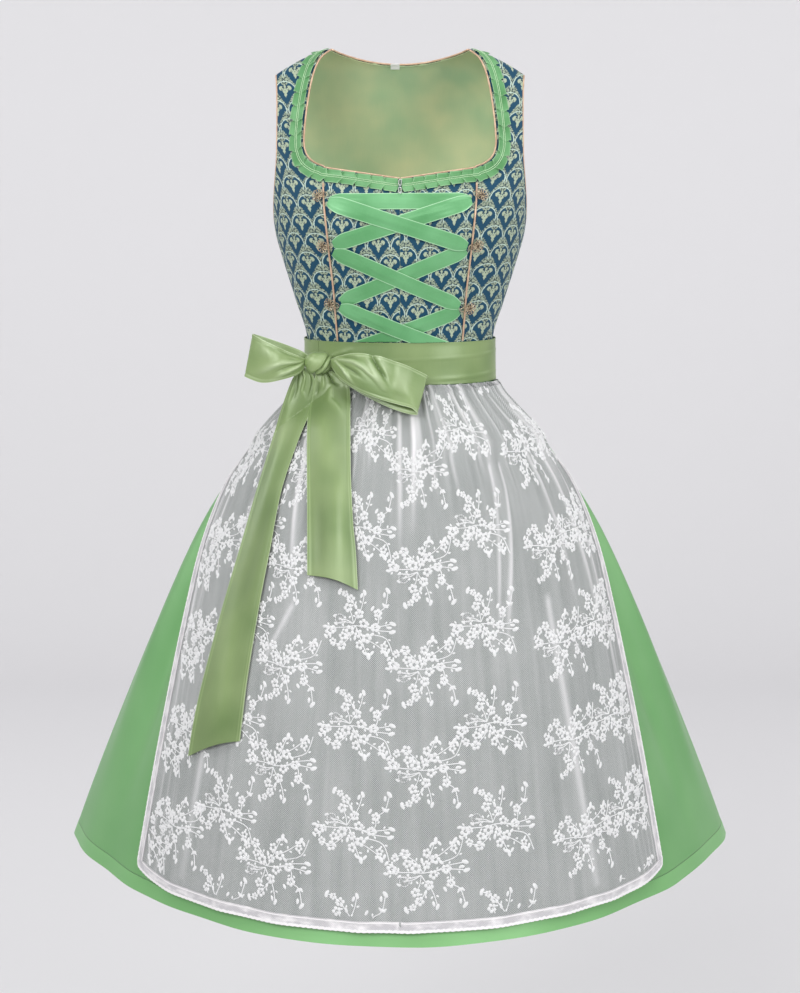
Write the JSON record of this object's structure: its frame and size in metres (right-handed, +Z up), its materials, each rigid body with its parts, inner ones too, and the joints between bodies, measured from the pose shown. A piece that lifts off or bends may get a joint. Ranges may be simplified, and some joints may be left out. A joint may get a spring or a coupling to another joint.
{
  "type": "dirndl dress",
  "caption": "Sleeveless dirndl dress with a laced brocade bodice, ruched square neckline, gathered skirt, lace apron, satin band and side-tied bow.",
  "frame": {"origin": "midway between the two neck points of the shoulder seams, where the wearer's shoulders carry the dress", "axes": "+Z up the wearer, -Y towards the wearer's front, +X towards the wearer's left"},
  "size_m": [0.836, 0.784, 0.9852],
  "materials": {
    "brocade": "woven damask, blue ground with a sage lattice, soft sheen",
    "lining_satin": "sage satin lining",
    "label_cloth": "blank white woven tape",
    "piping_satin": "rose-gold satin piping",
    "green_ribbon": "bright green satin ribbon",
    "antique_copper": "antique copper filigree",
    "closure_metal": "plain wire",
    "skirt_satin": "green satin, soft long highlights",
    "apron_net": "white net with embroidered sprays",
    "lace_edging": "white woven lace edge",
    "sage_satin": "sage green satin with bright creases"
  },
  "bodies": {
    "root": {"bodice_side_front_left": "brocade", "bodice_side_front_right": "brocade", "bodice_centre_front_left": "brocade", "bodice_centre_front_right": "brocade", "bodice_back": "brocade", "back_lining": "lining_satin", "size_label": "label_cloth", "piping_neck_left": "piping_satin", "piping_neck_right": "piping_satin", "piping_neck_back": "piping_satin", "piping_armhole_left": "piping_satin", "piping_armhole_right": "piping_satin", "piping_princess_left": "piping_satin", "piping_princess_right": "piping_satin", "ruche_left": "green_ribbon", "ruche_right": "green_ribbon", "lacing_top": "green_ribbon", "lacing_upper_under": "green_ribbon", "lacing_upper_over": "green_ribbon", "lacing_middle_under": "green_ribbon", "lacing_middle_over": "green_ribbon", "lacing_lower_under": "green_ribbon", "lacing_lower_over": "green_ribbon", "lace_hook_left_1": "antique_copper", "lace_hook_left_2": "antique_copper", "lace_hook_left_3": "antique_copper", "lace_hook_right_1": "antique_copper", "lace_hook_right_2": "antique_copper", "lace_hook_right_3": "antique_copper", "closure_eye": "closure_metal", "closure_hook": "closure_metal", "skirt_front": "skirt_satin", "skirt_back": "skirt_satin", "apron_lace": "apron_net", "apron_edging": "lace_edging", "apron_band": "sage_satin", "bow_knot": "sage_satin", "bow_loop_left": "sage_satin", "bow_loop_right": "sage_satin", "bow_tail_long": "sage_satin", "bow_tail_short": "sage_satin"}
  },
  "joints": []
}
